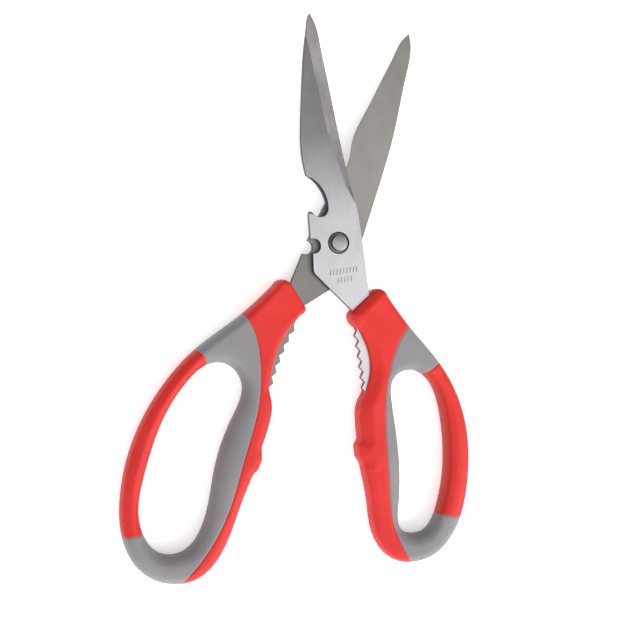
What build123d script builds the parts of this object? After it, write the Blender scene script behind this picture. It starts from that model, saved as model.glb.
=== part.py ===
from build123d import *
import os

# Poultry shears: two stamped stainless blades on a riveted pivot, each with a tang held in a
# hard plastic handle that has a soft overmoulded grip.
#
# Frame, millimetres: the origin is on the pivot axis, at the flat back face of the pivot rivet.
# +Z runs along the pivot axis towards the front face, +Y from the pivot to the blade tips, and
# +X to the right. At rest the shears are open, with each half turned half_open from closed.
#
# Both halves are drawn closed, with their closing line along +Y, and then turned open. The front
# half has its blade's cutting edge and its handle at +X, the rear half has both at -X.

# ---- driving dimensions ----
half_open = 13.0            # degrees that each half stands open from the closing line
blade_thickness = 2.5
blade_gap = 0.1             # running gap between the two flat inner faces
edge_land = 0.3             # steel left at the ground cutting edge
handle_thickness = 12.5
skin = 2.6                  # soft grip beyond the edge of the hidden web
web_thickness = 6.6

# ---- pivot ----
tail_radius = 3.5
tail_height = 0.9
tail_edge_break = 0.4
backing_radius = 4.6
backing_thickness = 0.6
shank_radius = 2.25
running_fit = 0.05          # radial clearance of the shank in the front blade
counterbore_radius = 4.1
counterbore_depth = 1.0
washer_radius = 3.85
washer_thickness = 0.4
head_radius = 2.95
head_stands_proud = 1.9
head_edge_break = 0.25

# ---- levels along the pivot axis ----
rear_back = tail_height + backing_thickness
rear_face = rear_back + blade_thickness
front_back = rear_face + blade_gap
front_face = front_back + blade_thickness
counterbore_floor = front_face - counterbore_depth
middle = (rear_face + front_back) / 2
handle_back = middle - handle_thickness / 2
handle_front = middle + handle_thickness / 2

# ---- cracker teeth and notches ----
tooth_count = 6
tooth_depth = 1.3
front_tooth_bow = 0.25      # how far the middle teeth stand back from a straight line of tips
rear_tooth_bow = 0.9
notch_centre = (-15.93, 14.63)
notch_radius = 13.63        # bone notch at the front face
notch_bevel = 0.6           # ground relief round the bone notch's front rim
relief_overrun = 0.3        # how far the relief's cutter runs past both of its ends

# ---- tang holes, drawn closed ----
hole_radius = 1.7
front_holes = [(8.2, -34.0), (9.6, -50.0)]
rear_holes = [(-11.2, -34.0), (-12.2, -50.0)]

# ---- handle edges ----
loop_round = 3.0            # rounding of the finger loop's rims
outer_round = 2.4           # rounding of the handle's outer rims
big = 60.0                  # longer than any section that is cut


def outline(start, *steps):
    """A closed face. A step is a point (straight run), a (middle, end) pair (arc) or a list (curve)."""
    edges = []
    here = start
    for step in steps:
        if isinstance(step, list):
            edges.append(Spline(here, *step))
            here = step[-1]
        elif isinstance(step[0], tuple):
            edges.append(ThreePointArc(here, step[0], step[1]))
            here = step[1]
        else:
            edges.append(Line(here, step))
            here = step
    return make_face(Wire(edges))


def slab(face, low, high):
    """The face as a plate between two levels."""
    return extrude(Pos(0, 0, low) * face, amount=high - low, dir=(0, 0, 1))


def teeth(first, last, side, bow):
    """Points of the cracker edge between two ends; side is +1 where the teeth point to +X."""
    points = []
    for index in range(2 * tooth_count + 1):
        along = index / (2 * tooth_count)
        x = first[0] + (last[0] - first[0]) * along - side * bow * 4 * along * (1 - along)
        y = first[1] + (last[1] - first[1]) * along
        if index % 2 == 0:
            x -= side * tooth_depth
        points.append((x, y))
    return points


def bevel_cutter(stations, face_level, land_level):
    """Wedge under a ground bevel. A station is (y, x of the grind line, x of the cutting edge)."""
    up = 1.0 if face_level > land_level else -1.0
    sections = []
    for y, x_line, x_edge in stations:
        slope = (face_level - land_level) / (x_line - x_edge)
        past_edge = 1.5 if x_edge > x_line else -1.5
        x_out = x_edge + past_edge
        x_in = x_line + up / slope
        above = face_level + up
        low = land_level - slope * (x_edge - x_out)
        corners = [(x_in, y, above), (x_out, y, low), (x_out, y, above)]
        sections.append(make_face(Polyline(*corners, close=True)))
    return loft(sections)


def front_blade_face():
    """The front blade, its pivot plate and its tang, drawn closed."""
    tip = (-0.6, 87.8)
    toothed = teeth((2.0, -33.8), (2.7, -57.8), -1, front_tooth_bow)
    return outline(
        tip,
        [(-1.3, 87.0), (-2.5, 83.4), (-4.2, 76.2), (-6.1, 66.4), (-8.9, 48.5), (-10.2, 34.0),
         (-9.6, 26.7)],
        ((-4.95, 21.6), (-2.95, 14.4)),
        ((-3.8, 11.7), (-5.65, 10.5)),
        ((-7.9, 11.4), (-9.0, 12.9)),
        (-9.7, 13.1),
        (-10.3, 12.2),
        (-10.7, 2.6),
        ((-7.0, -0.1), (-10.4, -2.9)),
        (-10.9, -9.0),
        ((-10.6, -10.6), (-9.8, -11.6)),
        (2.2, -25.9),
        (2.6, -31.0),
        (3.4, -32.6),
        *toothed,
        (6.0, -60.5),
        (8.5, -62.5),
        ((11.2, -61.5), (11.6, -58.5)),
        (12.6, -40.0),
        (9.8, -24.0),
        (9.5, -2.0),
        (8.8, 14.5),
        [(6.3, 33.0), (3.7, 60.2), (2.15, 76.5), (0.9, 84.6), tip],
    )


def rear_blade_face():
    """The rear blade, its pivot plate and its tang, drawn closed."""
    tip = (0.6, 86.2)
    toothed = teeth((-4.2, -35.0), (-5.7, -60.5), 1, rear_tooth_bow)
    toothed.reverse()
    return outline(
        tip,
        [(-1.0, 83.4), (-2.25, 76.3), (-3.7, 66.0), (-5.5, 53.0), (-7.1, 42.5), (-6.9, 37.2),
         (-5.9, 32.0), (-6.6, 24.0), (-8.9, 14.5)],
        (-10.2, 5.0),
        (-11.0, -2.9),
        ((-8.2, -5.6), (-11.3, -8.3)),
        (-12.1, -22.0),
        (-15.2, -40.0),
        (-15.4, -60.5),
        ((-14.4, -63.2), (-12.0, -63.9)),
        (-9.4, -62.4),
        *toothed,
        (-5.4, -33.0),
        (-4.9, -31.0),
        (-4.2, -26.9),
        (8.2, -11.6),
        ((9.0, -10.2), (9.2, -8.6)),
        (9.1, 4.0),
        (8.7, 25.0),
        [(7.6, 47.8), (4.9, 70.0), (2.2, 83.4), tip],
    )


def rear_handle_face():
    """The larger handle's outer line, drawn closed: sleeve, shoulder, bow, bottom and spine."""
    return outline(
        (-4.2, -27.4),
        (-12.4, -20.9),
        ((-15.9, -20.3), (-18.4, -23.4)),
        [(-26.1, -37.7), (-38.5, -56.0), (-45.0, -70.8), (-49.2, -92.0), (-47.2, -115.4),
         (-41.0, -130.6), (-31.2, -139.6), (-19.9, -141.2), (-9.8, -136.3), (-3.9, -123.0),
         (-3.1, -105.0), (-2.4, -93.4)],
        (-1.1, -90.9),
        (-1.0, -86.6),
        (-2.6, -82.4),
        [(-2.8, -73.0), (-4.0, -66.8), (-7.4, -60.9)],
        [(-9.1, -49.8), (-8.2, -39.8), (-5.0, -31.0)],
        ((-3.8, -29.0), (-4.2, -27.4)),
    )


def front_handle_face():
    """The smaller handle's outer line, drawn closed."""
    return outline(
        (1.5, -26.6),
        (11.6, -19.4),
        ((15.0, -19.3), (17.0, -22.1)),
        [(24.6, -34.9), (35.0, -50.3), (40.9, -64.5), (42.9, -80.3), (40.6, -98.0),
         (35.2, -112.6), (26.6, -122.4), (15.9, -125.3), (7.0, -122.4), (1.2, -112.8),
         (0.4, -99.0), (-0.4, -88.4)],
        (-0.6, -85.2),
        (-2.2, -81.8),
        (-2.1, -77.4),
        (-0.6, -75.2),
        [(-0.4, -68.0), (0.6, -62.4), (3.4, -57.8)],
        [(6.2, -50.5), (6.3, -41.5), (3.5, -33.0)],
        ((1.2, -29.4), (1.5, -26.6)),
    )


def smooth_ring(points, grow=0.0):
    """Face inside a smooth closed curve through clockwise points, each moved outwards by grow."""
    moved = []
    for index, point in enumerate(points):
        before = Vector(*points[index - 1])
        after = Vector(*points[(index + 1) % len(points)])
        outwards = (after - before).normalized().rotate(Axis.Z, 90)
        moved.append(Vector(*point) + outwards * grow)
    return make_face(Wire([Spline(*moved, periodic=True)]))


def rear_loop_face(grow=0.0):
    """The four-finger loop, drawn closed."""
    rim = [(-31.6, -59.3), (-24.5, -57.4), (-17.6, -62.2), (-16.9, -76.0), (-16.9, -96.0),
           (-14.4, -116.0), (-18.5, -128.3), (-26.0, -131.2), (-36.0, -124.6),
           (-41.3, -105.0), (-41.4, -84.6), (-37.0, -67.2)]
    return smooth_ring(rim, grow)


def front_loop_face(grow=0.0):
    """The thumb loop, drawn closed."""
    rim = [(16.0, -54.0), (22.6, -51.5), (30.0, -56.0), (33.9, -70.0), (33.6, -85.5),
           (29.0, -104.0), (20.6, -114.0), (12.8, -112.4), (12.4, -101.0),
           (14.6, -82.0), (14.2, -63.0)]
    return smooth_ring(rim, grow)


def rear_grip_face():
    """Where the larger handle is soft: a C from the shoulder down the loop's lining to the bottom."""
    spine_seam = [(-20.4, -42.8), (-14.3, -53.3), (-9.7, -69.0), (-8.4, -88.0), (-7.6, -108.0),
                  (-11.0, -128.2), (-17.5, -143.5)]
    return outline(
        (-30.0, -35.0),
        spine_seam,
        (-55.0, -150.0),
        (-55.0, -130.4),
        (-41.5, -129.8),
        (-33.0, -125.4),
        (-24.0, -110.0),
        (-30.0, -75.0),
        (-31.6, -63.5),
        [(-35.4, -57.6), (-44.0, -55.2)],
        (-30.0, -35.0),
    )


def front_grip_face():
    """Where the smaller handle is soft."""
    spine_seam = [(19.4, -38.9), (12.7, -53.3), (9.3, -72.0), (8.4, -90.0), (7.9, -105.9),
                  (11.6, -120.2), (15.6, -128.5)]
    return outline(
        (27.0, -30.5),
        spine_seam,
        (45.0, -135.0),
        (45.0, -112.0),
        (34.8, -110.1),
        (24.5, -107.4),
        (20.0, -95.0),
        (22.0, -70.0),
        (24.0, -56.0),
        (33.5, -50.2),
        (40.0, -46.5),
        (27.0, -30.5),
    )


def rear_web_face():
    """Outer line of the hard web that runs on under the larger handle's soft parts."""
    rim = [(-14.0, -46.0), (-8.4, -64.0), (-5.4, -84.0), (-5.6, -105.0), (-6.6, -122.0),
           (-12.4, -134.4), (-20.2, -138.3), (-29.8, -137.0), (-38.4, -129.0),
           (-44.5, -114.5), (-46.4, -94.0), (-43.0, -75.0), (-37.2, -60.0), (-23.0, -39.0)]
    return smooth_ring(rim)


def front_web_face():
    """Outer line of the web under the smaller handle's soft parts."""
    rim = [(21.8, -38.0), (32.4, -52.4), (38.2, -66.0), (40.2, -80.5), (37.9, -97.3),
           (32.8, -111.0), (25.0, -119.8), (16.0, -122.4), (8.8, -119.8), (4.0, -111.4),
           (3.2, -98.0), (2.8, -80.0), (5.4, -60.0), (12.6, -42.0)]
    return smooth_ring(rim)


def locking_holes(places, radius, low, high):
    """Holes in a tang, which the handle's plastic fills and so holds the blade."""
    holes = [Pos(x, y, (low + high) / 2) * Cylinder(radius, high - low + 2) for x, y in places]
    return Part() + holes


def handle_parts(handle_face, loop_face, lining_face, grip_face, web_face, tang):
    """The hard core and the soft grip of one handle, moulded round the tang."""
    body = slab(handle_face - loop_face, handle_back, handle_front)
    for is_loop, radius in ((True, loop_round), (False, outer_round)):
        rims = body.edges().filter_by(Plane.XY)
        rims = rims.filter_by(lambda rim: abs(abs(rim.center().Z - middle) - handle_thickness / 2) < 0.01)
        body = fillet(rims.filter_by(lambda rim: rim.is_closed == is_loop), radius)
    soft_zone = slab(grip_face, -big, big)
    web = slab(web_face - lining_face, middle - web_thickness / 2, middle + web_thickness / 2)
    core = (body - soft_zone) + (web & soft_zone) - tang
    grip = (body & soft_zone) - web - tang
    return core, grip


def front_blade():
    """Front blade with its bevel, relieved bone notch, counterbored pivot hole and tang holes."""
    blade = slab(front_blade_face(), front_back, front_face)
    relief = Pos(*notch_centre, front_face - notch_bevel / 2) * Cone(
        notch_radius - notch_bevel - relief_overrun, notch_radius + relief_overrun,
        notch_bevel + 2 * relief_overrun)
    upper_half = Pos(*notch_centre, 0) * Box(big, big, big, align=(Align.CENTER, Align.MIN, Align.CENTER))
    blade -= relief & upper_half
    grind = [(90.0, -5.2, -0.6), (76.0, -3.1, 2.2), (58.4, -1.1, 3.9), (42.0, 0.6, 5.4),
             (31.0, 3.3, 6.5), (22.0, 5.1, 7.9), (14.6, 8.2, 8.8)]
    blade -= bevel_cutter(grind, front_face, front_back + edge_land)
    blade -= Cylinder(shank_radius + running_fit, big)
    blade -= Pos(0, 0, counterbore_floor) * Cylinder(
        counterbore_radius, big, align=(Align.CENTER, Align.CENTER, Align.MIN))
    return blade - locking_holes(front_holes, hole_radius, front_back, front_face)


def rear_blade():
    """Rear blade; its bevel is on the hidden back."""
    blade = slab(rear_blade_face(), rear_back, rear_face)
    grind = [(90.0, 5.2, 1.2), (80.5, 2.9, -1.6), (68.8, 1.2, -3.3), (52.7, -0.9, -5.5),
             (42.0, -2.9, -7.1), (32.0, -3.4, -5.9), (24.0, -4.6, -6.6), (14.6, -8.2, -8.9)]
    blade -= bevel_cutter(grind, rear_back, rear_face - edge_land)
    blade -= Cylinder(shank_radius, big)
    return blade - locking_holes(rear_holes, hole_radius, rear_back, rear_face)


def pivot_rivet():
    """Peened tail with a flat back, shank through both blades, and a plain flat head in front."""
    stack_up = (Align.CENTER, Align.CENTER, Align.MIN)
    under_head = counterbore_floor + running_fit + washer_thickness
    top = front_face + head_stands_proud
    tail = Cylinder(tail_radius, tail_height, align=stack_up)
    tail = chamfer(tail.edges().group_by(Axis.Z)[0], tail_edge_break)
    shank = Pos(0, 0, tail_height / 2) * Cylinder(shank_radius, under_head, align=stack_up)
    head = Pos(0, 0, under_head) * Cylinder(head_radius, top - under_head, align=stack_up)
    head = fillet(head.edges().group_by(Axis.Z)[-1], head_edge_break)
    return tail + shank + head


def ring(outer, inner, low, thickness):
    """A flat washer."""
    return Pos(0, 0, low + thickness / 2) * (Cylinder(outer, thickness) - Cylinder(inner, thickness))


def build():
    """Every piece at rest, by name."""
    front = front_blade()
    rear = rear_blade()
    front_core, front_grip = handle_parts(
        front_handle_face(), front_loop_face(), front_loop_face(skin), front_grip_face(),
        front_web_face(), front)
    rear_core, rear_grip = handle_parts(
        rear_handle_face(), rear_loop_face(), rear_loop_face(skin), rear_grip_face(),
        rear_web_face(), rear)
    pieces = {}
    turned_front = {"front_blade": front, "front_handle_core": front_core,
                    "front_soft_grip": front_grip}
    turned_rear = {"rear_blade": rear, "rear_handle_core": rear_core, "rear_soft_grip": rear_grip}
    for name, piece in turned_front.items():
        pieces[name] = Rot(0, 0, half_open) * piece
    for name, piece in turned_rear.items():
        pieces[name] = Rot(0, 0, -half_open) * piece
    pieces["pivot_rivet"] = pivot_rivet()
    pieces["spring_washer"] = ring(
        washer_radius, shank_radius, counterbore_floor + running_fit, washer_thickness)
    pieces["backing_washer"] = ring(
        backing_radius, shank_radius, tail_height, backing_thickness)
    return pieces


os.makedirs("parts", exist_ok=True)
for node, shape in build().items():
    export_step(shape, f"parts/{node}.step")
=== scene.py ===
import math

import bpy
import numpy as np
from mathutils import Matrix, Vector
from mathutils.geometry import delaunay_2d_cdt

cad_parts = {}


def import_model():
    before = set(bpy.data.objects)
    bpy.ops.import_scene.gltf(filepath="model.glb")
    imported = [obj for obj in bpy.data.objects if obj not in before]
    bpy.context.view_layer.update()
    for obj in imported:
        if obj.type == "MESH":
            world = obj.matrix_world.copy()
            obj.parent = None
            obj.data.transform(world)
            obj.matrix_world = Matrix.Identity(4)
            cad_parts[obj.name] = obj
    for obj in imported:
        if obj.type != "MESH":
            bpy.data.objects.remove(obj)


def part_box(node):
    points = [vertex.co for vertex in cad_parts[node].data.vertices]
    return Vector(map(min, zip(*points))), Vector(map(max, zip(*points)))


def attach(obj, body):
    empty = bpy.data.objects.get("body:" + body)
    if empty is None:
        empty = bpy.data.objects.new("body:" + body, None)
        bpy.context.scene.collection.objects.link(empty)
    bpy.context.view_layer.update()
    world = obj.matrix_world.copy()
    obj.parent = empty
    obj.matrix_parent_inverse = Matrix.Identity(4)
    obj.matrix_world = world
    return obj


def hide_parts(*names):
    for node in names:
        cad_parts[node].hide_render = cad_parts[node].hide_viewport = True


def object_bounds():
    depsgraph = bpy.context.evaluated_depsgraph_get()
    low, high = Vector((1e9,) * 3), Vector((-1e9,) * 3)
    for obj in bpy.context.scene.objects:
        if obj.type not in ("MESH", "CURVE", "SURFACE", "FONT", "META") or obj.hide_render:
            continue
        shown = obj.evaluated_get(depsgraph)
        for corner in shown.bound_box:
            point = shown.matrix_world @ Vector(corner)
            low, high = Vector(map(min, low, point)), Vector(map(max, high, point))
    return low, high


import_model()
cad_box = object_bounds()

# Everything is drawn in millimetres, with both halves closed and the closing line along +Y, as the
# object's design is, and then turned open and scaled to metres.
MM = 0.001
HALF_OPEN = math.radians(13.0)
LOW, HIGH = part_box("front_handle_core")
MIDDLE = (LOW[2] + HIGH[2]) / 2 / MM        # level halfway through both handles
HALF_THICK = (HIGH[2] - LOW[2]) / 2 / MM    # from there to the front face
FRONT_BACK, FRONT_FACE = (corner[2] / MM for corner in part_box("front_blade"))
REAR_BACK, REAR_FACE = (corner[2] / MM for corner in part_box("rear_blade"))
STEP = 0.7                                  # spacing of points along an outline
HANDLE_GRID, BLADE_GRID = 0.9, 1.3          # spacing of points inside a piece
HANDLE_GAP, BLADE_GAP = 0.16, 0.1           # least distance between two of them
# degrees between faces above which an edge stays sharp
HANDLE_CREASE, BLADE_CREASE, TURNED_CREASE = 48, 12, 40


# ---- outlines ----
def cubic(points, closed=False):
    """Points about STEP apart on a smooth curve through the given ones."""
    p = np.array(points, float)
    if closed:
        p = np.vstack([p[-3:], p, p[:4]])
    run = np.hypot(*np.diff(p, axis=0).T)
    at = np.concatenate([[0], np.cumsum(run)])
    n = len(p)
    rows = np.zeros((n, n))
    right = np.zeros((n, 2))
    rows[0, 0] = rows[-1, -1] = 1
    for i in range(1, n - 1):
        a, b = run[i - 1], run[i]
        rows[i, i - 1:i + 2] = a, 2 * (a + b), b
        right[i] = 6 * ((p[i + 1] - p[i]) / b - (p[i] - p[i - 1]) / a)
    bend = np.linalg.solve(rows, right)
    first, last = (3, n - 4) if closed else (0, n - 1)
    count = max(2, int((at[last] - at[first]) / STEP))
    t = np.linspace(at[first], at[last], count + 1)
    i = np.clip(np.searchsorted(at, t, side="right") - 1, 0, n - 2)
    h = run[i][:, None]
    u = (t[:, None] - at[i][:, None]) / h
    curve = (1 - u) * p[i] + u * p[i + 1]
    curve += h ** 2 / 6 * (((1 - u) ** 3 - (1 - u)) * bend[i] + (u ** 3 - u) * bend[i + 1])
    return curve[:-1] if closed else curve


def arc(start, middle, end):
    """Points on the arc through three points."""
    a, b, c = (np.array(q, float) for q in (start, middle, end))
    m = 2 * np.array([b - a, c - a])
    centre = np.linalg.solve(m, [b @ b - a @ a, c @ c - a @ a])
    radius = np.hypot(*(a - centre))
    turn = [math.atan2(*(q - centre)[::-1]) for q in (a, b, c)]
    whole = 2 * math.pi
    ahead = (turn[1] - turn[0]) % whole < (turn[2] - turn[0]) % whole
    sweep = (turn[2] - turn[0]) % whole if ahead else -((turn[0] - turn[2]) % whole)
    count = max(4, int(abs(sweep) * radius / STEP * 1.6))
    angle = turn[0] + np.linspace(0, sweep, count + 1)
    return centre + radius * np.stack([np.cos(angle), np.sin(angle)], 1)


def outline(start, *steps):
    """A closed ring. A step is a point, a (middle, end) pair for an arc, or a list for a curve."""
    ring = [np.array([start], float)]
    here = start
    for step in steps:
        if isinstance(step, list):
            ring.append(cubic([here, *step])[1:])
            here = step[-1]
        elif isinstance(step[0], tuple):
            ring.append(arc(here, *step)[1:])
            here = step[1]
        else:
            count = max(1, int(math.dist(here, step) / STEP))
            along = np.linspace(0, 1, count + 1)[1:, None]
            ring.append((1 - along) * np.array(here) + along * np.array(step))
            here = step
    ring = np.vstack(ring)
    return ring[:-1] if np.allclose(ring[0], ring[-1], atol=1e-6) else ring


def segments(ring, closed=True):
    """Start and end of every short run of a ring or of an open line."""
    return (ring, np.roll(ring, -1, axis=0)) if closed else (ring[:-1], ring[1:])


def nearest(points, ring, closed=True):
    """Distance from each point to a ring, and the index of the run that it is nearest to."""
    a, b = segments(ring, closed)
    best = np.full(len(points), 1e9)
    which = np.zeros(len(points), int)
    d = b - a
    length = (d ** 2).sum(1)
    for low in range(0, len(points), 2000):
        q = points[low:low + 2000, None, :] - a[None]
        t = np.clip((q * d).sum(2) / length, 0, 1)
        far = np.hypot(*np.moveaxis(q - t[..., None] * d, 2, 0))
        which[low:low + 2000] = far.argmin(1)
        best[low:low + 2000] = far.min(1)
    return best, which


def inside(points, ring):
    """Which points lie inside a ring."""
    a, b = segments(ring)
    x, y = points[:, 0, None], points[:, 1, None]
    crosses = (a[:, 1] > y) != (b[:, 1] > y)
    with np.errstate(divide="ignore", invalid="ignore"):
        at = a[:, 0] + (y - a[:, 1]) * (b[:, 0] - a[:, 0]) / (b[:, 1] - a[:, 1])
    return ((crosses & (x < at)).sum(1) % 2).astype(bool)


def inwards(ring):
    """Unit normals of a ring that point to its inside."""
    along = np.roll(ring, -1, axis=0) - np.roll(ring, 1, axis=0)
    along /= np.hypot(*along.T)[:, None]
    normal = np.stack([-along[:, 1], along[:, 0]], 1)
    area = (ring[:, 0] * np.roll(ring[:, 1], -1) - np.roll(ring[:, 0], -1) * ring[:, 1]).sum()
    return normal if area > 0 else -normal


def smooth_min(values, width):
    """The lowest of several surfaces, with its creases rounded."""
    values = np.array(values)
    low = values.min(0)
    return low - width * np.log(np.exp(-(values - low) / width).sum(0))


def ramp(x):
    """0 below 0, 1 above 1, smooth between."""
    x = np.clip(x, 0, 1)
    return x * x * (3 - 2 * x)


def keyed(ring, which, keys):
    """Values at points, read along a ring between keys (x, y, value, ...) that lie near it."""
    run = np.hypot(*(np.roll(ring, -1, axis=0) - ring).T)
    at = np.concatenate([[0], np.cumsum(run)[:-1]])
    total = run.sum()
    keys = np.array(keys, float)
    places = [at[np.hypot(*(ring - key[:2]).T).argmin()] for key in keys]
    order = np.argsort(places)
    places = np.array(places)[order]
    return [np.interp(at[which], places, keys[order, column], period=total)
            for column in range(2, keys.shape[1])]


# ---- meshes ----
def new_object(name, data):
    """A new object in the scene."""
    made = bpy.data.objects.new(name, data)
    bpy.context.scene.collection.objects.link(made)
    return made


def smooth_piece(mesh, crease):
    """A smooth-shaded piece that stays sharp where its faces turn by more than crease degrees."""
    mesh.polygons.foreach_set("use_smooth", [True] * len(mesh.polygons))
    mesh.validate()
    mesh.set_sharp_from_angle(angle=math.radians(crease))
    return new_object(mesh.name, mesh)


def even_grid(ring, pitch):
    """Points in a triangular grid over the box round a ring."""
    low, high = ring.min(0), ring.max(0)
    xs = np.arange(low[0], high[0], pitch)
    ys = np.arange(low[1], high[1], pitch * 0.87)
    return np.array([(x + (j % 2) * pitch / 2, y) for j, y in enumerate(ys) for x in xs])


def thin_out(rows, gap):
    """Drops points that come too near to an earlier one."""
    kept = []
    cells = {}
    for row in rows:
        for x, y in row:
            i, j = int(x // gap), int(y // gap)
            near = False
            for a in (i - 1, i, i + 1):
                for b in (j - 1, j, j + 1):
                    for u, v in cells.get((a, b), ()):
                        near = near or (u - x) ** 2 + (v - y) ** 2 < gap * gap
            if not near:
                cells.setdefault((i, j), []).append((x, y))
                kept.append((x, y))
    return np.array(kept)


def triangulate(rings, lines, points, holes):
    """Triangles over flat rings and points, with every ring and line kept as edges."""
    flat, edges = [], []
    for ring, closed in [(ring, True) for ring in rings] + [(line, False) for line in lines]:
        start, count = len(flat), len(ring)
        flat += list(ring)
        edges += [(start + i, start + (i + 1) % count) for i in range(count if closed else count - 1)]
    flat += list(points)
    made = delaunay_2d_cdt([Vector(p) for p in flat], edges, [], 0, 1e-5)
    flat = np.array([tuple(v) for v in made[0]])
    triangles = np.array(made[2])
    centre = flat[triangles].mean(1)
    solid = inside(centre, rings[0])
    for hole in holes:
        solid &= ~inside(centre, hole)
    return flat, triangles[solid], centre[solid]


def closed_mesh(name, plan, triangles, top, bottom, kinds=None, wall_kind=0, crease=HANDLE_CREASE):
    """A closed piece between two heights over a triangulated plan, in millimetres."""
    used = np.unique(triangles)
    number = {v: i for i, v in enumerate(used)}
    verts = [(*plan[v], top[v]) for v in used]
    back = {}
    for v in used:
        if top[v] - bottom[v] < 1e-6:
            back[v] = number[v]
        else:
            back[v] = len(verts)
            verts.append((*plan[v], bottom[v]))
    faces = [tuple(number[v] for v in triangle) for triangle in triangles]
    faces += [tuple(back[v] for v in triangle[::-1]) for triangle in triangles]
    kinds = ([0] * len(triangles) if kinds is None else list(kinds)) + [0] * len(triangles)
    seen = {(int(t[i]), int(t[(i + 1) % 3])) for t in triangles for i in range(3)}
    for a, b in seen:
        wall = tuple(dict.fromkeys((number[b], number[a], back[a], back[b])))
        if (b, a) not in seen and len(wall) > 2:
            faces.append(wall)
            kinds.append(wall_kind)
    mesh = bpy.data.meshes.new(name)
    mesh.from_pydata([tuple(v) for v in np.asarray(verts) * MM], [], faces)
    mesh.polygons.foreach_set("material_index", kinds)
    return smooth_piece(mesh, crease)


def lathe(name, profile, count=96):
    """A turned piece round the pivot axis from a closed (radius, level) profile."""
    verts, faces = [], []
    for i in range(count):
        angle = 2 * math.pi * i / count
        verts += [(r * math.cos(angle) * MM, r * math.sin(angle) * MM, z * MM) for r, z in profile]
    size = len(profile)
    for i in range(count):
        a, b = i * size, (i + 1) % count * size
        for j in range(size):
            k = (j + 1) % size
            faces.append(tuple(dict.fromkeys((a + j, b + j, b + k, a + k))))
    mesh = bpy.data.meshes.new(name)
    mesh.from_pydata(verts, [], faces)
    return smooth_piece(mesh, TURNED_CREASE)


def turned(points, angle):
    """Points in plan, turned about the pivot."""
    c, s = math.cos(angle), math.sin(angle)
    return points @ np.array([[c, s], [-s, c]])


# ---- the two handles ----
REAR = {
    "outline": outline(
        (-4.2, -27.4), (-12.4, -20.9), ((-15.9, -20.3), (-18.4, -23.4)),
        [(-26.1, -37.7), (-38.5, -56.0), (-45.0, -70.8), (-49.2, -92.0), (-47.2, -115.4),
         (-41.0, -130.6), (-31.2, -139.6), (-19.9, -141.2), (-9.8, -136.3), (-3.9, -123.0),
         (-3.1, -105.0), (-2.4, -93.4)],
        (-1.1, -90.9), (-1.0, -86.6), (-2.6, -82.4),
        [(-2.8, -73.0), (-4.0, -66.8), (-7.4, -60.9)],
        [(-9.1, -49.8), (-8.2, -39.8), (-5.0, -31.0)],
        ((-3.8, -29.0), (-4.2, -27.4))),
    "loop": cubic(
        [(-31.6, -59.3), (-24.5, -57.4), (-17.6, -62.2), (-16.9, -76.0), (-16.9, -96.0),
         (-14.4, -116.0), (-18.5, -128.3), (-26.0, -131.2), (-36.0, -124.6),
         (-41.3, -105.0), (-41.4, -84.6), (-37.0, -67.2)], closed=True),
    "soft": outline(
        (-30.0, -35.0),
        [(-20.4, -42.8), (-14.3, -53.3), (-9.7, -69.0), (-8.4, -88.0), (-7.6, -108.0),
         (-11.0, -128.2), (-17.5, -143.5)],
        (-55.0, -150.0), (-55.0, -130.4), (-41.5, -129.8), (-33.0, -125.4), (-24.0, -110.0),
        (-30.0, -75.0), (-31.6, -63.5), [(-35.4, -57.6), (-44.0, -55.2)], (-30.0, -35.0)),
    # along the outer line: width and slope of the facet, and radius of the rim
    "outer_keys": [
        (-12.0, -21.0, 1.6, 30, 1.6), (-18.4, -23.4, 2.2, 36, 2.4), (-26.1, -37.7, 2.6, 42, 2.6),
        (-38.0, -55.4, 2.6, 42, 2.6), (-40.8, -59.5, 3.9, 30, 2.8), (-49.2, -92.0, 3.9, 30, 2.8),
        (-42.4, -128.0, 3.9, 30, 2.8), (-39.0, -133.0, 3.6, 18, 4.0), (-19.9, -141.2, 3.6, 14, 4.2),
        (-4.6, -126.0, 3.6, 22, 3.4), (-3.1, -100.0, 3.4, 24, 3.0), (-2.8, -73.0, 3.4, 22, 2.8),
        (-9.1, -49.8, 2.2, 24, 1.4), (-5.0, -31.0, 1.6, 26, 1.6)],
    "loop_keys": [
        (-31.6, -59.3, 3.6, 26, 2.8), (-25.0, -57.4, 0.6, 10, 3.0), (-18.6, -60.4, 0.6, 8, 5.5),
        (-17.0, -76.0, 0.6, 4, 9.4), (-16.9, -96.0, 0.6, 4, 9.6), (-14.4, -116.0, 0.6, 4, 7.4),
        (-18.5, -128.3, 0.6, 4, 6.6), (-28.0, -131.0, 0.6, 8, 6.0), (-35.0, -125.6, 3.6, 24, 3.0),
        (-42.0, -105.0, 3.6, 26, 2.8), (-42.2, -84.6, 3.6, 26, 2.8)],
    "pad_end": None,
    "turn": -HALF_OPEN,
}
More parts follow.
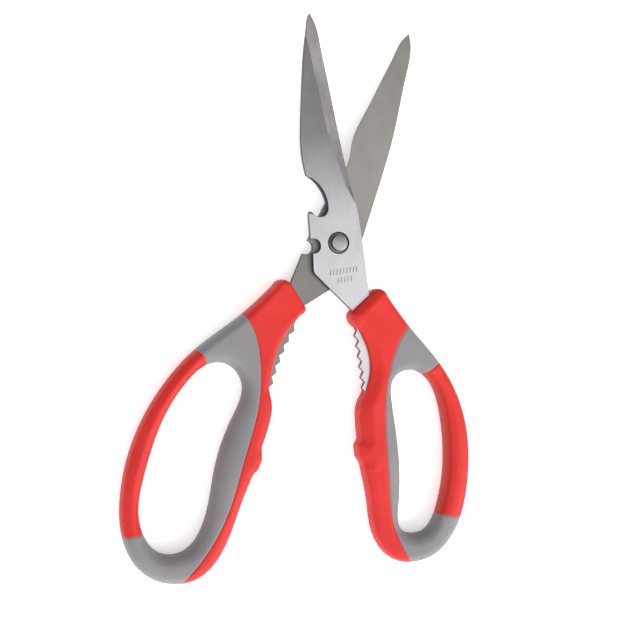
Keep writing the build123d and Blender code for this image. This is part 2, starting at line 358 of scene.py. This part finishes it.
FRONT = {
    "outline": outline(
        (1.5, -26.6), (11.6, -19.4), ((15.0, -19.3), (17.0, -22.1)),
        [(24.6, -34.9), (35.0, -50.3), (40.9, -64.5), (42.9, -80.3), (40.6, -98.0),
         (35.2, -112.6), (26.6, -122.4), (15.9, -125.3), (7.0, -122.4), (1.2, -112.8),
         (0.4, -99.0), (-0.4, -88.4)],
        (-0.6, -85.2), (-2.2, -81.8), (-2.1, -77.4), (-0.6, -75.2),
        [(-0.4, -68.0), (0.6, -62.4), (3.4, -57.8)],
        [(6.2, -50.5), (6.3, -41.5), (3.5, -33.0)],
        ((1.2, -29.4), (1.5, -26.6))),
    "loop": cubic(
        [(16.0, -54.0), (22.6, -51.5), (30.0, -56.0), (33.9, -70.0), (33.6, -85.5),
         (29.0, -104.0), (20.6, -114.0), (12.8, -112.4), (12.4, -101.0),
         (14.6, -82.0), (14.2, -63.0)], closed=True),
    "soft": outline(
        (27.0, -30.5),
        [(19.4, -38.9), (12.7, -53.3), (9.3, -72.0), (8.4, -90.0), (7.9, -105.9),
         (11.6, -120.2), (15.6, -128.5)],
        (45.0, -135.0), (45.0, -112.0), (34.8, -110.1), (24.5, -107.4), (20.0, -95.0),
        (22.0, -70.0), (24.0, -56.0), (33.5, -50.2), (40.0, -46.5), (27.0, -30.5)),
    "outer_keys": [
        (1.5, -26.6, 3.4, 34, 1.2), (11.6, -19.4, 3.4, 34, 1.2), (16.4, -21.0, 2.0, 24, 2.4),
        (24.6, -34.9, 2.0, 20, 2.8), (34.0, -48.6, 2.0, 20, 2.8), (36.2, -52.6, 3.9, 24, 2.8),
        (42.9, -80.3, 3.9, 24, 2.8), (35.6, -112.0, 3.9, 24, 2.8), (31.0, -118.6, 3.6, 16, 4.0),
        (15.9, -125.3, 3.6, 14, 4.0), (4.6, -120.0, 3.6, 20, 3.4), (0.4, -99.0, 3.6, 18, 3.0),
        (-0.4, -88.4, 3.6, 20, 2.6), (-0.6, -85.2, 5.2, 26, 2.2), (-0.4, -68.0, 5.2, 28, 2.2),
        (3.4, -57.8, 4.8, 28, 1.6), (6.3, -45.0, 4.4, 26, 1.2), (3.5, -33.0, 3.6, 24, 1.2)],
    "loop_keys": [
        (14.2, -63.0, 0.6, 4, 5.0), (14.6, -82.0, 0.6, 4, 5.6), (12.4, -101.0, 0.6, 4, 4.4),
        (12.8, -112.4, 0.6, 4, 6.0), (20.6, -114.0, 0.6, 8, 6.4), (25.5, -109.6, 3.6, 22, 3.4),
        (29.0, -104.0, 3.6, 24, 2.8), (33.6, -85.5, 3.6, 24, 2.8), (33.9, -70.0, 3.6, 24, 2.8),
        (29.0, -54.9, 3.4, 22, 2.8), (24.0, -51.6, 0.6, 8, 3.0), (16.0, -54.0, 0.6, 6, 3.6)],
    "pad_end": -86.6,
    "turn": HALF_OPEN,
}
SEAM_DEPTH, SEAM_WIDTH = 0.26, 0.26         # groove where the hard and the soft part meet
RIM_POWER = 2.15                            # 2 would make a rim's rounding circular
FACET_BLEND, RIM_BLEND = 0.16, 0.10         # rounding of the creases between surfaces
RIM_ROWS = (0.05, 0.2, 0.5, 0.95, 1.5, 2.15, 2.9, 3.7)
SEAM_ROWS = (-0.75, -0.42, -0.2, 0.2, 0.42, 0.75)
ROW_SHARE = 0.93                            # a row keeps this share of its distance to every rim
FINE_GAP, COARSE_GAP = 0.12, 0.9            # least distance from the seam, near a rim and further in
SEAM_ROW_START, GRID_START = 0.04, 3.6      # distance from the rims where those rows and the grid start
EDGE_FADE = 0.02                            # the skin closes to the middle plane within this distance
# The front handle's inner line steps down by PAD_STEP below its stop bump. The step fades in over
# PAD_START, fades out towards PAD_FOOT and PAD_EDGE from the outline, and ends at PAD_RIGHT.
PAD_STEP, PAD_START = 0.55, 1.1
PAD_FOOT, PAD_FOOT_FADE = -122, 10
PAD_EDGE, PAD_EDGE_FADE = 7.0, 3.0
PAD_RIGHT = 9.0


def rim(distance, radius, height):
    """A rounded edge: 0 at the outline, full height a radius further in."""
    short = 1 - np.clip(distance / radius, 0, 1)
    return height * (1 - short ** RIM_POWER) ** (1 / RIM_POWER)


def heights(handle, points):
    """Height of the handle's skin over its middle plane."""
    far_out, which_out = nearest(points, handle["outline"])
    far_in, which_in = nearest(points, handle["loop"])
    far_seam, _ = nearest(points, handle["soft"])
    width, slope, radius = keyed(handle["outline"], which_out, handle["outer_keys"])
    width_in, slope_in, radius_in = keyed(handle["loop"], which_in, handle["loop_keys"])
    top = np.full(len(points), HALF_THICK)
    facet = top - np.tan(np.radians(slope)) * np.maximum(width - far_out, 0)
    facet_in = top - np.tan(np.radians(slope_in)) * np.maximum(width_in - far_in, 0)
    if handle["pad_end"] is not None:
        below = ramp((handle["pad_end"] - points[:, 1]) / PAD_START)
        below *= ramp((points[:, 1] - PAD_FOOT) / PAD_FOOT_FADE) * ramp((PAD_EDGE - far_out) / PAD_EDGE_FADE)
        below *= (points[:, 0] < PAD_RIGHT)
        facet = facet - PAD_STEP * below
    skin = smooth_min([facet, facet_in], FACET_BLEND)
    rims = [rim(far_out, radius, HALF_THICK), rim(far_in, radius_in, HALF_THICK)]
    skin = smooth_min([skin, *rims], RIM_BLEND)
    skin -= SEAM_DEPTH * np.exp(-(far_seam / SEAM_WIDTH) ** 2)
    edge = np.minimum(far_out, far_in)
    skin = np.minimum(skin, HALF_THICK) * ramp(edge / EDGE_FADE)
    return np.where(edge < 1e-3, 0.0, np.maximum(skin, 0.0))


def spread(handle):
    """Points to mesh inside a handle: rows close to each rim and seam, and an even grid."""
    rings = [handle["outline"], handle["loop"]]
    rows = []
    for ring, sign in zip(rings, (1, -1)):
        normal = inwards(ring) * sign
        for offset in RIM_ROWS:
            gap = FINE_GAP if offset < 0.6 else COARSE_GAP
            rows.append((ROW_SHARE * offset, gap, ring + normal * offset))
    normal = inwards(handle["soft"])
    for offset in SEAM_ROWS:
        rows.append((SEAM_ROW_START, FINE_GAP, handle["soft"] + normal * offset))
    rows.append((GRID_START, COARSE_GAP, even_grid(handle["outline"], HANDLE_GRID)))
    chosen = []
    for from_edge, from_seam, row in rows:
        row = row[inside(row, rings[0]) & ~inside(row, rings[1])]
        edge = np.minimum(nearest(row, rings[0])[0], nearest(row, rings[1])[0])
        seam, _ = nearest(row, handle["soft"])
        chosen.append(row[(edge > from_edge) & (seam > from_seam)])
    return thin_out(chosen, HANDLE_GAP)


def handle_pieces(handle, names):
    """Closed meshes of a handle's hard and soft parts, which meet in a fine groove."""
    rings = [handle["outline"], handle["loop"], handle["soft"]]
    flat, triangles, centre = triangulate(rings, [], spread(handle), [handle["loop"]])
    is_soft = inside(centre, handle["soft"])
    height = heights(handle, flat)
    plan = turned(flat, handle["turn"])
    return [closed_mesh(name, plan, mine, MIDDLE + height, MIDDLE - height)
            for name, mine in zip(names, (triangles[~is_soft], triangles[is_soft]))]


# ---- the two blades ----
FACE, EDGE, BEVEL, MARK = range(4)          # order of a blade's materials
GRIND_GAP = 0.2                             # least distance of a point from the grind line
RIM = 0.13                                  # broken edge round a blank
LAND = 0.3                                  # steel left at the ground cutting edge
BORE, COUNTERBORE, SINK = 2.3, 4.1, 1.0     # pivot hole and its counterbore in the front blade
NOTCH, NOTCH_RADIUS = np.array((-15.93, 14.63)), 13.63
# the bone notch's relief fades in upwards from NOTCH_LOW and lies below NOTCH_HIGH; painted shade darkens it
# within NOTCH_REACH of NOTCH_MIDDLE
NOTCH_LOW, NOTCH_FADE, NOTCH_HIGH = 12.2, 2.4, 28
NOTCH_MIDDLE, NOTCH_REACH = 20, 8
# along the notch's lower arc a band of painted shade lies on the front face, as wide as the next line says
# from left to right
LOWER_ARC, LOWER_ARC_REACH, LOWER_ARC_TOP = (-6.3, 14.2), 4.15, 14.8
SHADE_BAND_PLACES, SHADE_BAND_WIDTH = (-6.6, -4.0), (0.05, 0.5)
# strokes: level and number in each row, middle, pitch, rise along a row, half length and half width
STROKE_ROWS = ((-10.7, 9), (-14.0, 5))
STROKE_MIDDLE, STROKE_PITCH, ROW_TILT = 0.7, 1.3, 0.035
STROKE_LEAN, STROKE_ACROSS = np.array([0.25, 1.05]), np.array([0.17, 0.0])
MARK_DEPTH = 0.07


def toothed(first, last, side, bow, count=6, depth=1.3):
    """Points of a cracker edge; side is +1 where the teeth point to +X."""
    along = np.arange(2 * count + 1) / (2 * count)
    x = first[0] + (last[0] - first[0]) * along - side * bow * 4 * along * (1 - along)
    x[::2] -= side * depth
    y = first[1] + (last[1] - first[1]) * along
    return [(float(a), float(b)) for a, b in zip(x, y)]


FRONT_TIP, REAR_TIP = (-0.6, 87.8), (0.6, 86.2)
FRONT_BLANK = outline(
    FRONT_TIP,
    [(-1.3, 87.0), (-2.5, 83.4), (-4.2, 76.2), (-6.1, 66.4), (-8.9, 48.5), (-10.2, 34.0), (-9.6, 26.7)],
    ((-4.95, 21.6), (-2.95, 14.4)), ((-3.8, 11.7), (-5.65, 10.5)), ((-7.9, 11.4), (-9.0, 12.9)),
    (-9.7, 13.1), (-10.3, 12.2), (-10.7, 2.6), ((-7.0, -0.1), (-10.4, -2.9)), (-10.9, -9.0),
    ((-10.6, -10.6), (-9.8, -11.6)), (2.2, -25.9), (2.6, -31.0), (3.4, -32.6),
    *toothed((2.0, -33.8), (2.7, -57.8), -1, 0.25),
    (6.0, -60.5), (8.5, -62.5), ((11.2, -61.5), (11.6, -58.5)), (12.6, -40.0), (9.8, -24.0),
    (9.5, -2.0), (8.8, 14.5), [(6.3, 33.0), (3.7, 60.2), (2.15, 76.5), (0.9, 84.6), FRONT_TIP])
REAR_BLANK = outline(
    REAR_TIP,
    [(-1.0, 83.4), (-2.25, 76.3), (-3.7, 66.0), (-5.5, 53.0), (-7.1, 42.5), (-6.9, 37.2), (-5.9, 32.0),
     (-6.6, 24.0), (-8.9, 14.5)],
    (-10.2, 5.0), (-11.0, -2.9), ((-8.2, -5.6), (-11.3, -8.3)), (-12.1, -22.0), (-15.2, -40.0),
    (-15.4, -60.5), ((-14.4, -63.2), (-12.0, -63.9)), (-9.4, -62.4),
    *toothed((-4.2, -35.0), (-5.7, -60.5), 1, 0.9)[::-1],
    (-5.4, -33.0), (-4.9, -31.0), (-4.2, -26.9), (8.2, -11.6), ((9.0, -10.2), (9.2, -8.6)),
    (9.1, 4.0), (8.7, 25.0), [(7.6, 47.8), (4.9, 70.0), (2.2, 83.4), REAR_TIP])
# ground bevels: y, x of the grind line, x of the cutting edge
FRONT_GRIND = np.array([
    (13.4, 8.9, 9.0), (14.6, 8.2, 8.8), (22.0, 5.1, 7.9), (31.0, 3.3, 6.5), (42.0, 0.6, 5.4),
    (58.4, -1.1, 3.9), (76.0, -3.1, 2.2), (90.0, -5.2, -0.6)])
REAR_GRIND = np.array([
    (13.4, -9.1, -9.2), (14.6, -8.2, -8.9), (24.0, -4.6, -6.6), (32.0, -3.4, -5.9),
    (42.0, -2.9, -7.1), (52.7, -0.9, -5.5), (68.8, 1.2, -3.3), (80.5, 2.9, -1.6), (90.0, 5.2, 1.2)])


def circle(centre, radius, count=96):
    """A ring of points on a circle."""
    angle = np.linspace(0, 2 * math.pi, count, endpoint=False)
    return np.array(centre) + radius * np.stack([np.cos(angle), np.sin(angle)], 1)


def grind_line(grind, blank):
    """The line where a ground bevel starts, as far as it runs over the blank."""
    y = np.arange(grind[0, 0], grind[-1, 0], STEP)
    line = np.stack([np.interp(y, grind[:, 0], grind[:, 1]), y], 1)
    return line[inside(line, blank) & (nearest(line, blank)[0] > 0.25)]


def ground_off(points, grind):
    """How much of the thickness a bevel takes away: 0 at the grind line, 1 at the cutting edge."""
    x, y = points.T
    line, edge = (np.interp(y, grind[:, 0], grind[:, column]) for column in (1, 2))
    return np.clip((x - line) / (edge - line), 0, 1.2) * (y > grind[0, 0])


def marks():
    """Two rows of plain slanted strokes, where a steel grade would be rolled in."""
    rings = []
    for y, count in STROKE_ROWS:
        for i in range(count):
            x = STROKE_MIDDLE + (i - (count - 1) / 2) * STROKE_PITCH
            centre = np.array([x, y + ROW_TILT * (x - STROKE_MIDDLE)])
            low, high = centre - STROKE_LEAN, centre + STROKE_LEAN
            rings.append(np.array([low - STROKE_ACROSS, low + STROKE_ACROSS,
                                   high + STROKE_ACROSS, high - STROKE_ACROSS]))
    return rings


def blade_rows(blank, grind, keep_out):
    """Points inside a blade: rows close to its outline and an even grid."""
    normal = inwards(blank)
    rows = [(0.9 * offset, blank + normal * offset) for offset in (RIM, 0.6)]
    rows.append((COARSE_GAP, even_grid(blank, BLADE_GRID)))
    line = grind_line(grind, blank)
    chosen = []
    for room, row in rows:
        row = row[inside(row, blank)]
        keep = (nearest(row, blank)[0] > room) & (nearest(row, line, closed=False)[0] > GRIND_GAP)
        for ring in keep_out:
            keep &= nearest(row, ring)[0] > FINE_GAP
        chosen.append(row[keep])
    return thin_out(chosen, BLADE_GAP)


def front_blade_piece():
    """The front blade: bevel, relieved bone notch, counterbored pivot hole and strokes, with painted shade
    over the notch, along its lower arc and in the counterbore.
    """
    strokes = marks()
    bore = circle((0, 0), BORE)
    steps = [circle((0, 0), COUNTERBORE + grow) for grow in (-0.03, 0.0, RIM)]
    relief = circle(NOTCH, NOTCH_RADIUS, 240)
    relief = relief[(relief[:, 1] > NOTCH[1]) & inside(relief, FRONT_BLANK)]
    relief = relief[nearest(relief, FRONT_BLANK)[0] > 0.2]
    floors = [stroke.mean(0) + (stroke - stroke.mean(0)) * (0.55, 0.92) for stroke in strokes]
    lines = [grind_line(FRONT_GRIND, FRONT_BLANK), relief]
    rows = blade_rows(FRONT_BLANK, FRONT_GRIND, [bore, *steps, *strokes])
    rows = rows[np.hypot(*rows.T) > COUNTERBORE + 0.5]
    rings = [FRONT_BLANK, bore, *steps, *strokes, *floors]
    flat, triangles, centre = triangulate(rings, lines, rows, [bore])
    far = nearest(flat, FRONT_BLANK)[0]
    top = FRONT_FACE - np.maximum(RIM - far, 0)
    x, y = flat.T
    short = np.maximum(NOTCH_RADIUS - np.hypot(*(flat - NOTCH).T), 0) * ramp((y - NOTCH_LOW) / NOTCH_FADE)
    by_notch = (y > NOTCH_LOW) & (y < NOTCH_HIGH) & (x < 0)
    top = np.where(by_notch, np.minimum(top, FRONT_FACE - short), top)
    taken = ground_off(flat, FRONT_GRIND) * (FRONT_FACE - FRONT_BACK - LAND)
    top = np.minimum(top, FRONT_FACE - taken)
    radius = np.hypot(*flat.T)
    top = np.where(radius < COUNTERBORE + RIM, FRONT_FACE - (COUNTERBORE + RIM - radius), top)
    top = np.where(radius < COUNTERBORE - 0.01, FRONT_FACE - SINK, top)
    sunk = np.zeros(len(centre), bool)
    for stroke in strokes:
        low = inside(flat, stroke) & (nearest(flat, stroke)[0] > 0.02)
        top = np.where(low, FRONT_FACE - MARK_DEPTH, top)
        sunk |= inside(centre, stroke)
    bottom = FRONT_BACK + 0.5 * np.maximum(RIM - far, 0)
    bevelled = ground_off(centre, FRONT_GRIND) > 0
    kinds = np.where(sunk, MARK, np.where(bevelled, BEVEL, FACE))
    x, y = centre.T
    # painted shade: near-black steel over the bone notch's middle, in a band along its lower arc and on the
    # counterbore's floor
    shaded_faces = (np.abs(y - NOTCH_MIDDLE) < NOTCH_REACH) & (x < 0)
    shaded_faces &= np.hypot(*(centre - NOTCH).T) < NOTCH_RADIUS
    by_arc = (np.hypot(*(centre - LOWER_ARC).T) < LOWER_ARC_REACH) & (y < LOWER_ARC_TOP)
    shaded_faces |= by_arc & (nearest(centre, FRONT_BLANK)[0] < np.interp(x, SHADE_BAND_PLACES, SHADE_BAND_WIDTH))
    kinds = np.where(shaded_faces | (np.hypot(*centre.T) < COUNTERBORE), EDGE, kinds)
    plan = turned(flat, HALF_OPEN)
    return closed_mesh("front_blade_steel", plan, triangles, top, bottom, kinds, EDGE, BLADE_CREASE)


def rear_blade_piece():
    """The rear blade: flat in front, bevelled on its back."""
    bore = circle((0, 0), BORE)
    rows = blade_rows(REAR_BLANK, REAR_GRIND, [bore])
    rows = rows[np.hypot(*rows.T) > BORE + 0.3]
    lines = [grind_line(REAR_GRIND, REAR_BLANK)]
    flat, triangles, _ = triangulate([REAR_BLANK, bore], lines, rows, [bore])
    far = nearest(flat, REAR_BLANK)[0]
    top = REAR_FACE - 0.5 * np.maximum(RIM - far, 0)
    bottom = REAR_BACK + np.maximum(RIM - far, 0)
    taken = ground_off(flat, REAR_GRIND) * (REAR_FACE - REAR_BACK - LAND)
    bottom = np.maximum(bottom, REAR_BACK + taken)
    plan = turned(flat, -HALF_OPEN)
    return closed_mesh("rear_blade_steel", plan, triangles, top, bottom, None, EDGE, BLADE_CREASE)


# ---- materials ----
def material(name):
    """A new node material and a helper that adds nodes; its sockets go by name, or by number as i0, i1."""
    made = bpy.data.materials.new(name)
    made.use_nodes = True
    tree = made.node_tree
    shader = tree.nodes["Principled BSDF"]

    def node(kind, settings=None, **sockets):
        added = tree.nodes.new(kind)
        for key, value in (settings or {}).items():
            setattr(added, key, value)
        for key, value in sockets.items():
            by_number = key[0] == "i" and key[1:].isdigit()
            socket = added.inputs[int(key[1:]) if by_number else key]
            if isinstance(value, bpy.types.NodeSocket):
                tree.links.new(value, socket)
            else:
                socket.default_value = value
        return added

    return made, node, shader, tree


def place(node, stretch=(1, 1, 1), turn=0.0):
    """Object coordinates in millimetres, turned about the pivot and stretched."""
    where = node("ShaderNodeTexCoord").outputs["Object"]
    turned_back = node("ShaderNodeMapping", {"vector_type": "TEXTURE"}, Vector=where,
                       Rotation=(0, 0, turn), Scale=(MM, MM, MM)).outputs[0]
    return node("ShaderNodeMapping", Vector=turned_back, Scale=stretch).outputs[0]


def plastic(name, dark, colour, light, roughness, grain, bump, specular, sheen=0.0):
    """Moulded plastic: fine spark texture, faint flow marks, slightly uneven gloss."""
    made, node, shader, tree = material(name)
    where = place(node)
    fine = node("ShaderNodeTexNoise", Vector=where, Scale=grain, Detail=3.0, Roughness=0.6).outputs[0]
    broad = node("ShaderNodeTexNoise", Vector=where, Scale=0.06, Detail=2.0).outputs[0]
    cells = node("ShaderNodeTexVoronoi", Vector=where, Scale=grain * 0.55).outputs[0]
    mixed = node("ShaderNodeMath", {"operation": "MULTIPLY_ADD"}, i0=fine, i1=0.35, i2=broad).outputs[0]
    tones = node("ShaderNodeValToRGB", i0=mixed)
    stops = tones.color_ramp.elements
    stops[0].position, stops[0].color = 0.42, (*dark, 1)
    stops[1].position, stops[1].color = 0.92, (*light, 1)
    stops.new(0.67).color = (*colour, 1)
    tree.links.new(tones.outputs[0], shader.inputs["Base Color"])
    rough = node("ShaderNodeMapRange", i0=fine, i1=0.3, i2=0.7, i3=roughness - 0.05, i4=roughness + 0.07)
    tree.links.new(rough.outputs[0], shader.inputs["Roughness"])
    relief = node("ShaderNodeMath", {"operation": "ADD"}, i0=fine, i1=cells).outputs[0]
    bumped = node("ShaderNodeBump", Strength=bump, Distance=0.00006, Height=relief).outputs[0]
    tree.links.new(bumped, shader.inputs["Normal"])
    shader.inputs["Specular IOR Level"].default_value = specular
    shader.inputs["Sheen Weight"].default_value = sheen
    shader.inputs["Sheen Roughness"].default_value = 0.5
    return made


def steel(name, colour, roughness, turn, along=(0.9, 0.02, 0.9), streak=6.0, bump=0.25, spots=0.5,
          painted_shade_ramp=None, contrast=1.0):
    """Ground stainless: long fine scratches one way, a few stray ones, uneven polish at random, and a painted
    shade ramp along the blade where one is given.

    The painted shade ramp gives two heights along the blade and the painted shade that it has reached at the
    second one.
    """
    made, node, shader, tree = material(name)
    long_marks = place(node, along, turn)
    cross = place(node, (0.03, 0.8, 0.8), turn + 0.35)
    where = place(node)
    fine = node("ShaderNodeTexNoise", Vector=long_marks, Scale=streak, Detail=6.0, Roughness=0.7).outputs[0]
    stray = node("ShaderNodeTexNoise", Vector=cross, Scale=2.4, Detail=4.0, Roughness=0.75).outputs[0]
    cloud = node("ShaderNodeTexNoise", Vector=where, Scale=0.09, Detail=3.0).outputs[0]
    tint = node("ShaderNodeMapRange", i0=cloud, i1=0.3, i2=0.7, i3=1 - 0.07 * contrast,
                i4=1 + 0.05 * contrast).outputs[0]
    streaks = node("ShaderNodeMapRange", i0=fine, i1=0.3, i2=0.7, i3=1 - 0.10 * contrast,
                   i4=1 + 0.08 * contrast).outputs[0]
    both = node("ShaderNodeMath", {"operation": "MULTIPLY"}, i0=tint, i1=streaks).outputs[0]
    # painted shade: the steel grows darker or lighter along the blade, standing in for its reflections and
    # shadows
    if painted_shade_ramp is not None:
        low, high, shade_there = painted_shade_ramp
        height = node("ShaderNodeSeparateXYZ", i0=place(node, turn=turn)).outputs["Y"]
        painted_fade = node("ShaderNodeMapRange", i0=height, i1=low, i2=high, i3=1.0, i4=shade_there).outputs[0]
        both = node("ShaderNodeMath", {"operation": "MULTIPLY"}, i0=both, i1=painted_fade).outputs[0]
    shade = node("ShaderNodeVectorMath", {"operation": "SCALE"}, i0=colour, Scale=both).outputs[0]
    tree.links.new(shade, shader.inputs["Base Color"])
    shader.inputs["Metallic"].default_value = 1.0
    sum_marks = node("ShaderNodeMath", {"operation": "MULTIPLY_ADD"}, i0=stray, i1=spots, i2=fine).outputs[0]
    rough = node("ShaderNodeMapRange", i0=sum_marks, i1=0.5, i2=1.0, i3=roughness - 0.06, i4=roughness + 0.10)
    tree.links.new(rough.outputs[0], shader.inputs["Roughness"])
    bumped = node("ShaderNodeBump", Strength=bump, Distance=0.00004, Height=sum_marks).outputs[0]
    tree.links.new(bumped, shader.inputs["Normal"])
    return made


RED = plastic("red_plastic", (0.485, 0.0135, 0.0105), (0.53, 0.0165, 0.0125), (0.575, 0.0225, 0.0165),
              roughness=0.52, grain=3.2, bump=0.22, specular=0.28)
GREY = plastic("soft_grey", (0.171, 0.165, 0.172), (0.19, 0.184, 0.191), (0.209, 0.204, 0.210),
               roughness=0.66, grain=4.4, bump=0.30, specular=0.35, sheen=0.12)
# the front face's steel is painted darker towards the tip: a painted reflection falloff
FRONT_STEEL = steel("front_blade_face", (0.435, 0.422, 0.438), 0.27, HALF_OPEN,
                    painted_shade_ramp=(8.0, 42.0, 0.47))
BEVEL_STEEL = steel("front_blade_bevel", (0.43, 0.40, 0.41), 0.34, HALF_OPEN, (0.9, 0.05, 0.9), 3.0, 0.5, 0.9,
                    contrast=2.2)
# the rear blade's steel is a darker copy of the front blade's, painted shade, and its ramp darkens it further
# towards the tang, a painted shadow of the front blade
REAR_STEEL = steel("rear_blade_face", (0.185, 0.174, 0.163), 0.40, -HALF_OPEN,
                   painted_shade_ramp=(-8.0, 22.0, 1.4))
# near-black steel: painted shade on the blades' cut walls, in the pivot counterbore and over the bone notch;
# only its rougher finish is the cut steel's own
PAINTED_SHADE_STEEL = steel("walls_and_hollows_painted_shade", (0.046, 0.041, 0.060), 0.42, 0.0, (0.5, 0.5, 0.12), 6.0, 0.4)
MARK_STEEL = steel("rolled_mark", (0.20, 0.20, 0.22), 0.5, 0.0, (0.5, 0.5, 0.5), 5.0, 0.2)
RIVET_STEEL = steel("rivet_steel", (0.27, 0.275, 0.265), 0.30, 0.4, (0.5, 0.5, 0.5), 5.0, 0.15)
WASHER_STEEL = steel("washer_steel", (0.14, 0.13, 0.13), 0.42, 0.0, (0.5, 0.5, 0.5), 5.0, 0.2)


# ---- pieces ----
def put(piece, body, node_name, made):
    """Lets a piece stand for a CAD node."""
    for one in made:
        piece.data.materials.append(one)
    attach(piece, body)
    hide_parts(node_name)


for half, handle in (("rear", REAR), ("front", FRONT)):
    hard, soft = handle_pieces(handle, (f"{half}_handle_moulding", f"{half}_grip_moulding"))
    put(hard, f"{half}_half", f"{half}_handle_core", [RED])
    put(soft, f"{half}_half", f"{half}_soft_grip", [GREY])

put(front_blade_piece(), "front_half", "front_blade",
    [FRONT_STEEL, PAINTED_SHADE_STEEL, BEVEL_STEEL, MARK_STEEL])
put(rear_blade_piece(), "rear_half", "rear_blade", [REAR_STEEL, PAINTED_SHADE_STEEL])

SEAT = FRONT_FACE - SINK + 0.05             # level of the spring washer's underside
UNDER_HEAD = SEAT + 0.4
HEAD_TOP = FRONT_FACE + 1.9
SHANK, HEAD, TAIL, TAIL_TOP = 2.25, 2.95, 3.5, 0.9
RIVET = [
    (0, 0), (3.1, 0), (3.35, 0.06), (TAIL, 0.22), (TAIL, TAIL_TOP), (SHANK, TAIL_TOP), (SHANK, UNDER_HEAD),
    (HEAD, UNDER_HEAD), (HEAD, HEAD_TOP - 0.25), (2.92, HEAD_TOP - 0.12), (2.84, HEAD_TOP - 0.03),
    (2.7, HEAD_TOP), (0, HEAD_TOP)]


def washer(outer, low, high, broken):
    """Profile of a flat ring on the shank, with its outer rims broken."""
    return [(SHANK, low), (outer - broken, low), (outer, low + broken), (outer, high - broken),
            (outer - broken, high), (SHANK, high)]


put(lathe("pivot_rivet_turned", RIVET), "rear_half", "pivot_rivet", [RIVET_STEEL])
put(lathe("spring_washer_ring", washer(3.85, SEAT, UNDER_HEAD, 0.06)), "rear_half", "spring_washer",
    [WASHER_STEEL])
put(lathe("backing_washer_ring", washer(4.6, TAIL_TOP, 1.5, 0.08)), "rear_half", "backing_washer",
    [WASHER_STEEL])


# ---- floor, light and camera ----
FLOOR_HALF, FLOOR_DROP = 3.0, 0.0002        # metres: half its side, and how far it lies under the handles


def floor():
    """A plain white table top under the handles' flat backs, which glows with painted light that washes out
    the shadows on it.
    """
    z = cad_box[0][2] - FLOOR_DROP
    corners = [(x * FLOOR_HALF, y * FLOOR_HALF, z) for x, y in ((-1, -1), (1, -1), (1, 1), (-1, 1))]
    mesh = bpy.data.meshes.new("floor")
    mesh.from_pydata(corners, [], [(0, 1, 2, 3)])
    made, node, shader, tree = material("floor_white")
    noise = node("ShaderNodeTexNoise", Scale=40.0).outputs[0]
    tone = node("ShaderNodeMapRange", i0=noise, i1=0.3, i2=0.7, i3=0.93, i4=0.96).outputs[0]
    tree.links.new(tone, shader.inputs["Base Color"])
    shader.inputs["Roughness"].default_value = 0.9
    shader.inputs["Specular IOR Level"].default_value = 0.1
    # painted light: the floor glows so that shadows on it vanish and the handles' lower sides are lit from
    # below
    shader.inputs["Emission Color"].default_value = (1.0, 1.0, 1.0, 1)
    shader.inputs["Emission Strength"].default_value = 0.40
    mesh.materials.append(made)
    piece = new_object("floor", mesh)


def area_light(name, at, target, size, power):
    """A soft rectangular light that points at a place."""
    data = bpy.data.lights.new(name, "AREA")
    data.shape = "RECTANGLE"
    data.size, data.size_y = size
    data.energy = power
    lamp = new_object(name, data)
    lamp.location = at
    lamp.rotation_euler = (Vector(target) - Vector(at)).to_track_quat("-Z", "Y").to_euler()


# surroundings: along each axis, from and to where the brightness changes, and from and to what
ALONG_Y = (0.0, 0.30, 1.90, 0.42)
ALONG_X = (-0.85, 0.0, 0.66, 1.0)


def world():
    """Studio surroundings: bright overhead and by the handles, greyer beyond the tips and to the left."""
    made = bpy.data.worlds.new("studio")
    bpy.context.scene.world = made
    made.use_nodes = True
    tree = made.node_tree
    where = tree.nodes.new("ShaderNodeTexCoord").outputs["Generated"]
    split = tree.nodes.new("ShaderNodeSeparateXYZ")
    tree.links.new(where, split.inputs[0])
    product = tree.nodes.new("ShaderNodeMath")
    product.operation = "MULTIPLY"
    for socket, axis, values in ((0, "Y", ALONG_Y), (1, "X", ALONG_X)):
        shade = tree.nodes.new("ShaderNodeMapRange")
        shade.interpolation_type = "SMOOTHSTEP"
        tree.links.new(split.outputs[axis], shade.inputs[0])
        for number, value in enumerate(values, 1):
            shade.inputs[number].default_value = value
        tree.links.new(shade.outputs[0], product.inputs[socket])
    tree.nodes["Background"].inputs["Color"].default_value = (1.0, 1.0, 1.0, 1)
    tree.links.new(product.outputs[0], tree.nodes["Background"].inputs["Strength"])


CAMERA_DISTANCE = 0.570
CAMERA_YAW = math.radians(15.0)
PICTURE_TURN = math.radians(6.23)           # the closing line leans this far in the picture
TARGET = Vector((-0.00345, -0.02982, MIDDLE * MM))


def camera():
    """Looks at the front face from a little to the left."""
    data = bpy.data.cameras.new("camera")
    data.lens, data.sensor_width = 84.375, 36.0
    data.clip_start, data.clip_end = 0.01, 20.0
    view = new_object("camera", data)
    away = Vector((-math.sin(CAMERA_YAW), 0, math.cos(CAMERA_YAW)))
    up = Vector((0, 1, 0))
    roll = Matrix.Rotation(PICTURE_TURN, 3, "Z")
    away, up = roll @ away, roll @ up
    side = up.cross(away).normalized()
    facing = Matrix((side, away.cross(side), away)).transposed().to_4x4()
    view.matrix_world = Matrix.Translation(TARGET + away * CAMERA_DISTANCE) @ facing
    bpy.context.scene.camera = view


floor()
world()
area_light("key", (0.75, -0.45, 0.70), (0, -0.02, 0), (0.8, 0.8), 7.5)
camera()
bpy.context.scene.view_settings.view_transform = "Standard"
